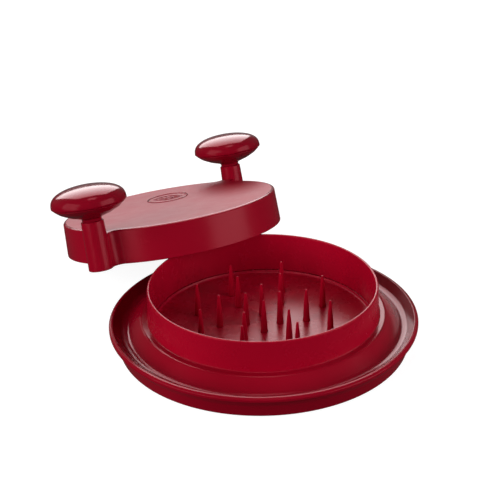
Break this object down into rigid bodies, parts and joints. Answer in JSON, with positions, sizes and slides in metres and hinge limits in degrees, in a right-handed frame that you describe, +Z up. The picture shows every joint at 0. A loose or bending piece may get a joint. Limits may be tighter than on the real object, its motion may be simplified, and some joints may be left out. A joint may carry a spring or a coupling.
{
  "type": "twist meat shredder",
  "caption": "Round tray with a spiked shredding chamber, and a spiked cap lid with two mushroom knobs that leans on the chamber's rim, lifts off and twists.",
  "frame": {"origin": "on the tray's axis, at the surface that its feet stand on", "axes": "+Z up along the tray's axis, -Y towards the user, +X to the user's right; the lid leans to the back left"},
  "size_m": [0.3085, 0.4146, 0.1189],
  "materials": {
    "shell_plastic": "deep red, satin to gloss",
    "spike_plastic": "deep red, satin",
    "foot_rubber": "matte, dark red",
    "screw_steel": "plated steel"
  },
  "bodies": {
    "base": {"base_tray": "shell_plastic", "chamber_wall": "shell_plastic", "chamber_floor": "shell_plastic", "foot_pad_1": "foot_rubber", "foot_pad_2": "foot_rubber", "foot_pad_3": "foot_rubber", "foot_pad_4": "foot_rubber", "foot_pad_5": "foot_rubber", "foot_pad_6": "foot_rubber", "lower_spike_a1": "spike_plastic", "lower_spike_a2": "spike_plastic", "lower_spike_a3": "spike_plastic", "lower_spike_a4": "spike_plastic", "lower_spike_b1": "spike_plastic", "lower_spike_b2": "spike_plastic", "lower_spike_b3": "spike_plastic", "lower_spike_b4": "spike_plastic", "lower_spike_b5": "spike_plastic", "lower_spike_b6": "spike_plastic", "lower_spike_c1": "spike_plastic", "lower_spike_c2": "spike_plastic", "lower_spike_c3": "spike_plastic", "lower_spike_c4": "spike_plastic", "lower_spike_c5": "spike_plastic", "lower_spike_c6": "spike_plastic", "lower_spike_c7": "spike_plastic", "lower_spike_c8": "spike_plastic"},
    "lid_carrier": {"upper_spike_centre": "spike_plastic"},
    "lid": {"lid_shell": "shell_plastic", "lid_emblem": "shell_plastic", "upper_spike_d1": "spike_plastic", "upper_spike_d2": "spike_plastic", "upper_spike_d3": "spike_plastic", "upper_spike_d4": "spike_plastic", "upper_spike_d5": "spike_plastic", "upper_spike_e1": "spike_plastic", "upper_spike_e2": "spike_plastic", "upper_spike_e3": "spike_plastic", "upper_spike_e4": "spike_plastic", "upper_spike_e5": "spike_plastic", "upper_spike_e6": "spike_plastic", "upper_spike_e7": "spike_plastic", "near_knob": "shell_plastic", "near_knob_cap": "shell_plastic", "near_knob_screw": "screw_steel", "far_knob": "shell_plastic", "far_knob_cap": "shell_plastic", "far_knob_screw": "screw_steel"}
  },
  "joints": [
    {"name": "lid_lift", "type": "slide", "parent": "base", "child": "lid_carrier", "axis": [0, 0, 1], "range_m": [0, 0.12]},
    {"name": "lid_twist", "type": "hinge", "parent": "lid_carrier", "child": "lid", "pos_m": [-0.08434, 0.15059, 0.057], "axis": [-0.1357, 0.2424, 0.9606], "continuous": true}
  ]
}
